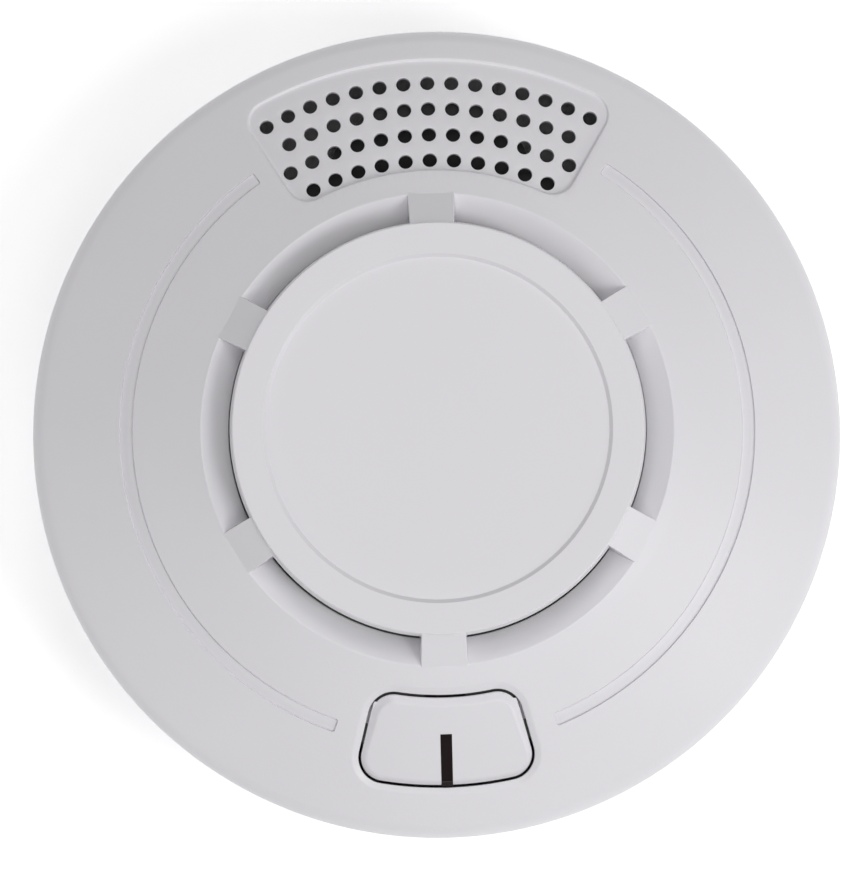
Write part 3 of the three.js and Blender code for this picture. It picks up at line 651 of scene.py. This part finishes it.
def add_ribs(shell):
    """Six ribs, which fall evenly from the cap's edge and round over on to the face."""
    toe_r = FACE_INNER_R + RIB_TOE_OUT
    start = np.array((CAP_RADIUS - RIB_START, CAP_TOP - RIB_START))
    knee = np.array((toe_r - RIB_KNEE_BACK, face_height(toe_r) + RIB_TOE_RISE))
    toe = (toe_r, face_height(toe_r) - RIB_TOE_SUNK)
    step = (RIB_STEP_R - start[0]) / (knee[0] - start[0])
    over_collar = [start + (step + side * RIB_STEP_LENGTH / 2) * (knee - start) for side in (-1, 1)]
    path = rounded([start, *over_collar, knee, toe], [0, 0, RIB_KNEE_ROUND], steps=8)
    widths = (RIB_WIDTH, RIB_TOE_WIDTH)
    for index in range(RIB_COUNT):
        direction = 90 + index * 360 / RIB_COUNT
        add_radial_bar(shell, path, widths, RIB_EDGE, RIB_FLARE, rib_base, direction, PLAIN)


def add_cap(shell):
    """The cap with its recess, the skirt under its edge, and its inside."""
    skirt_inner = SKIRT_RADIUS - WALL
    profile = rounded(
        [(0, CAP_PLATE), (skirt_inner, CAP_PLATE), (skirt_inner, SKIRT_BOTTOM), (SKIRT_RADIUS, SKIRT_BOTTOM),
         (CAP_RADIUS, CAP_TOP), (RECESS_RADIUS + RECESS_WALL_WIDTH / 2, CAP_TOP),
         (RECESS_RADIUS - RECESS_WALL_WIDTH / 2, CAP_TOP - RECESS_DEPTH), (0, CAP_TOP - RECESS_DEPTH)],
        [SMALL_ROUND, SMALL_ROUND, SKIRT_ROUND, SMALL_ROUND, RECESS_ROUND, RECESS_ROUND], steps=6,
    )
    shell.lathe(profile, material=PLAIN)


def add_screw_bosses(shell):
    """A boss over each case screw, from the seam up into the skin of the face."""
    for node in ("case_screw_1", "case_screw_2", "case_screw_3"):
        add_post(shell, middle_of(node), BOSS_RADIUS, SEAM + GAP, above_face(-SKIN / 2),
                 bore=BOSS_BORE, bore_top=SEAM + BOSS_DEPTH, material=PLAIN)


def front_cover(materials):
    shell = Shell()
    add_face(shell)
    shell.lathe(outer_skin_profile(), material=GRAIN)
    shell.lathe(inner_skin_profile(), material=PLAIN)
    add_cap(shell)
    add_ribs(shell)
    add_screw_bosses(shell)
    return shell.make("moulded_cover", [materials["cover_grain"], materials["cover_smooth"]])


# ------------------------------------------------------------------ test button

# Distances in from the button's edge at which its bevel is shaped.
BUTTON_SETS = (0, 0.02, 0.06, 0.12, 0.22, 0.4, 0.6, 0.75, 0.85, 0.95, 1.05, 1.15, 1.25, 1.4)


def button_top(radius, inset):
    """The button's top: a face that sinks to the gap at its outer end, and a bevel round its other sides."""
    part = (radius - BUTTON["inner"]) / (BUTTON["outer"] - BUTTON["inner"])
    face = BUTTON_PROUD + part * BUTTON_SINK
    bevel = BUTTON_RIM * (1 - inset / BUTTON_BEVEL)
    low = -BEVEL_BLEND * math.log(math.exp(-face / BEVEL_BLEND) + math.exp(-bevel / BEVEL_BLEND))
    short = max(0.0, BUTTON_EDGE - inset)
    fall = BUTTON_EDGE - math.sqrt(BUTTON_EDGE ** 2 - short ** 2)
    return face_height(radius) + low - fall


def add_button_back(shell):
    """The stem over the switch, a seat for each spring, and the lugs that hook under the cover."""
    buried = above_face(-BUTTON_THICKNESS / 2)
    plunger = "test_switch_plunger"
    add_post(shell, middle_of(plunger), STEM_RADIUS, top_of(plunger) + STEM_GAP, buried)
    for spring in ("button_spring_left", "button_spring_right"):
        add_post(shell, middle_of(spring), SPRING_SEAT, top_of(spring) + GAP, buried)
    hook_top = -SKIN - GAP
    for side in (-1, 1):
        for (start, end), top in ((LUG_LEG, -BUTTON_THICKNESS / 2), (LUG_HOOK, hook_top)):
            outline = ring_outline(**LUG, middle=270 + side * (start + end) / 2, half=(end - start) / 2)
            add_prism(shell, outline, above_face(hook_top - LUG_THICKNESS), above_face(top))


def test_button(materials):
    outline = ring_outline(**BUTTON)
    bottom = above_face(-BUTTON_THICKNESS)
    shell = Shell()
    loops = [lifted(outline, bottom)]
    for inset in BUTTON_SETS:
        moved = offset(outline, -inset)
        loops.append([(x, y, button_top(math.hypot(x, y), inset)) for x, y in moved])
    shell.strips(loops)
    middle = [flat_part(loops[-1])]
    shell.fill(middle, lambda x, y: button_top(math.hypot(x, y), BUTTON_SETS[-1]), spacing=0.9)
    shell.fill([outline], bottom, spacing=1.5, face_down=True)
    add_button_back(shell)
    return shell.make("test_button_cap", [materials["cover_smooth"]])


def light_window(materials):
    """The smoked bar, which stands a hair above the button and ends in the gap at its outer edge."""
    radii = np.linspace(-WINDOW_HIGH.y - BUTTON_GAP / 2, BUTTON["outer"] + BUTTON_GAP / 2, WINDOW_STEPS)
    path = [(r, button_top(r, max(BUTTON["outer"] - r, BUTTON_EDGE)) + WINDOW_PROUD) for r in radii]
    width = WINDOW_HIGH.x - WINDOW_LOW.x
    shell = Shell()
    add_radial_bar(shell, path, (width, width), edge=WINDOW_EDGE, flare=0,
                   base=lambda radius: face_height(radius) - WINDOW_DEPTH, direction=270, material=0)
    return shell.make("smoked_window", [materials["window"]])


# ------------------------------------------------------------------ insect screen

def insect_screen(materials):
    """Woven mesh round the chamber, as a net of thin wires."""
    radius = (SCREEN_HIGH.x - SCREEN_LOW.x) / 2 - SCREEN_INSET
    bottom = SCREEN_LOW.z + SCREEN_END
    height = SCREEN_HIGH.z - SCREEN_LOW.z - 2 * SCREEN_END
    levels = [bottom + height * row / SCREEN_UP for row in range(SCREEN_UP + 1)]
    ring = circle(radius, count=SCREEN_AROUND)
    points = [Vector((x, y, z)) * MM for z in levels for x, y in ring]
    faces = []
    for row in range(SCREEN_UP):
        below, above = row * SCREEN_AROUND, (row + 1) * SCREEN_AROUND
        for column in range(SCREEN_AROUND):
            across = (column + 1) % SCREEN_AROUND
            faces.append((below + column, below + across, above + across, above + column))
    mesh = bpy.data.meshes.new("screen_net")
    mesh.from_pydata(points, [], faces)
    mesh.materials.append(materials["mesh"])
    net = bpy.data.objects.new("screen_net", mesh)
    bpy.context.scene.collection.objects.link(net)
    wires = net.modifiers.new("wires", "WIREFRAME")
    wires.thickness = WIRE * MM
    wires.use_even_offset = False
    return net


# ------------------------------------------------------------------ case and bracket

def refined(node, name, material, edge):
    """A copy of a CAD node with truly round walls and the small rounds that a moulding has."""
    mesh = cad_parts[node].data.copy()
    mesh.name = name
    mesh.materials.clear()
    mesh.materials.append(material)
    work = bmesh.new()
    work.from_mesh(mesh)
    bmesh.ops.remove_doubles(work, verts=work.verts, dist=FINE_WELD * MM)
    bmesh.ops.dissolve_limit(work, angle_limit=math.radians(0.6), verts=work.verts, edges=work.edges)
    round_walls(work)
    work.to_mesh(mesh)
    work.free()
    piece = bpy.data.objects.new(name, mesh)
    bpy.context.scene.collection.objects.link(piece)
    rounds = piece.modifiers.new("moulded_edges", "BEVEL")
    rounds.width = edge * MM
    rounds.segments = 2
    rounds.limit_method = "ANGLE"
    rounds.angle_limit = math.radians(35)
    smooth(piece, 60)
    return piece


def round_walls(work, cuts=7):
    """Subdivides the sides of every large polygon about the axis, and moves them out to its circle."""
    def radius(vertex):
        return math.hypot(vertex.co.x, vertex.co.y)

    reach = work.verts.layers.float.new("reach")
    sides = []
    for edge in work.edges:
        first, second = edge.verts
        same_height = abs(first.co.z - second.co.z) < FINE_WELD * MM
        same_circle = abs(radius(first) - radius(second)) < WELD * MM
        large = radius(first) > ROUND_FROM_R * MM
        short = edge.calc_length() < LONGEST_FACET * radius(first)
        if same_height and same_circle and large and short:
            sides.append(edge)
            first[reach] = second[reach] = radius(first)
    bmesh.ops.subdivide_edges(work, edges=sides, cuts=cuts, use_grid_fill=True)
    for vertex in work.verts:
        if vertex[reach]:
            vertex.co.xy *= vertex[reach] / radius(vertex)
    work.verts.layers.float.remove(reach)


# ------------------------------------------------------------------ what stays as it is in the CAD model

CAD_FINISH = {
    "case_screw_1": "steel",
    "case_screw_2": "steel",
    "case_screw_3": "steel",
    "test_switch_body": "epoxy",
    "test_switch_plunger": "epoxy",
    "button_spring_left": "steel",
    "button_spring_right": "steel",
    "circuit_board": "board",
    "microcontroller": "epoxy",
    "indicator_led": "led",
    "electrolytic_capacitor": "sleeve",
    "boost_inductor": "ferrite",
    "battery_body": "jacket",
    "battery_terminal_positive": "nickel",
    "battery_terminal_negative": "nickel",
    "battery_snap": "snap",
    "battery_lead_red": "red_wire",
    "battery_lead_black": "black_wire",
    "sounder_housing": "sounder",
    "sounder_plate": "brass",
    "sounder_ceramic": "ceramic",
    "sounder_wire_red": "red_wire",
    "sounder_wire_black": "black_wire",
    "chamber_base": "black",
    "chamber_cover": "black",
    "infrared_emitter": "infrared",
    "light_receiver": "infrared",
}


def dress_cad_nodes(materials):
    for node, finish in CAD_FINISH.items():
        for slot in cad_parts[node].material_slots:
            slot.material = materials[finish]


# ------------------------------------------------------------------ floor, lights and camera, in metres

FLOOR_HALF, FLOOR_DROP = 3.0, 0.0002
FLOOR_GLOW = 0.4

# Name, azimuth anticlockwise from +X, elevation, distance, size and power of each round soft box.
SOFT_LIGHTS = (
    ("overhead", 0, 90, 1.4, 1.2, 4.5),
    ("key_high", 330, 55, 1.0, 0.35, 2.2),
    ("key_low", 330, 25, 1.0, 0.35, 1.5),
    ("front", 270, 55, 1.0, 0.35, 0.9),
    ("left", 210, 25, 1.0, 0.35, 0.97),
    ("right", 30, 55, 1.0, 0.35, 0.37),
    ("back", 90, 55, 1.0, 0.35, 1.15),
)
SKY_COLOUR, SKY_STRENGTH = (0.97, 0.98, 1.0), 0.085

CAMERA_DISTANCE = 0.6
CAMERA_LENS, CAMERA_SENSOR = 191.7, 36.0
CAMERA_ROLL, CAMERA_TIP, CAMERA_LEAN = 1.64, 2.52, 0.4  # degrees
CAMERA_SHIFT_RIGHT, CAMERA_SHIFT_UP = -0.00078, -0.00023


def floor():
    mesh = bpy.data.meshes.new("floor")
    corners = [(-1, -1), (1, -1), (1, 1), (-1, 1)]
    mesh.from_pydata([(x * FLOOR_HALF, y * FLOOR_HALF, -FLOOR_DROP) for x, y in corners], [], [(0, 1, 2, 3)])
    material, tree, shader = new_material("floor_paper", (0.93, 0.93, 0.935), 0.9)
    shader.inputs["Emission Color"].default_value = (1, 1, 1, 1)
    shader.inputs["Emission Strength"].default_value = FLOOR_GLOW
    mesh.materials.append(material)
    piece = bpy.data.objects.new("floor", mesh)
    bpy.context.scene.collection.objects.link(piece)


def soft_light(name, azimuth, elevation, distance, size, power):
    """A round soft box, aimed at the alarm."""
    across = math.radians(azimuth)
    up = math.radians(elevation)
    level_reach = math.cos(up)
    place = distance * Vector((level_reach * math.cos(across), level_reach * math.sin(across), math.sin(up)))
    data = bpy.data.lights.new(name, "AREA")
    data.shape = "DISK"
    data.size = size
    data.energy = power
    lamp = bpy.data.objects.new(name, data)
    lamp.location = place
    lamp.rotation_euler = (-place).to_track_quat("-Z", "Y").to_euler()
    bpy.context.scene.collection.objects.link(lamp)


def lights():
    for light in SOFT_LIGHTS:
        soft_light(*light)
    world = bpy.data.worlds.new("studio")
    world.use_nodes = True
    background = world.node_tree.nodes["Background"]
    background.inputs["Color"].default_value = (*SKY_COLOUR, 1)
    background.inputs["Strength"].default_value = SKY_STRENGTH
    bpy.context.scene.world = world


def camera():
    """Nearly straight above the face, tipped a little towards the test button."""
    roll = math.radians(CAMERA_ROLL)
    tip = math.tan(math.radians(CAMERA_TIP))
    lean = math.tan(math.radians(CAMERA_LEAN))
    up = Vector((math.sin(roll), math.cos(roll), 0))
    right = up.cross(Vector((0, 0, 1)))
    target = Vector((0, 0, face_height(RIM_RADIUS) * MM)) + right * CAMERA_SHIFT_RIGHT + up * CAMERA_SHIFT_UP
    away = (Vector((0, 0, 1)) - tip * up - lean * right).normalized()
    across = up.cross(away).normalized()
    data = bpy.data.cameras.new("camera")
    data.lens = CAMERA_LENS
    data.sensor_width = CAMERA_SENSOR
    data.clip_start = 0.01
    piece = bpy.data.objects.new("camera", data)
    turn = Matrix((across, away.cross(across), away)).transposed().to_4x4()
    piece.matrix_world = Matrix.Translation(target + CAMERA_DISTANCE * away) @ turn
    bpy.context.scene.collection.objects.link(piece)
    bpy.context.scene.camera = piece


# ------------------------------------------------------------------ assembly

def mount(piece, body, slot, *nodes):
    """Puts a piece on a body, in place of the named CAD nodes. Its slot argument is not used."""
    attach(piece, body)
    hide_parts(*nodes)


def build():
    materials = make_materials()
    camera()
    lights()
    floor()
    dress_cad_nodes(materials)
    mount(front_cover(materials), "alarm", "cover_plastic", "front_cover")
    mount(test_button(materials), "test_button", "cover_plastic", "test_button")
    mount(light_window(materials), "test_button", "dark_window", "light_window")
    mount(insect_screen(materials), "alarm", "screen_mesh", "insect_screen")
    case = refined("rear_case", "moulded_case", materials["case"], CASE_ROUND)
    mount(case, "alarm", "case_plastic", "rear_case")
    bracket = refined("mounting_bracket", "moulded_bracket", materials["case"], BRACKET_ROUND)
    mount(bracket, "bracket", "case_plastic", "mounting_bracket")
    bpy.context.scene.view_settings.view_transform = "Standard"


build()
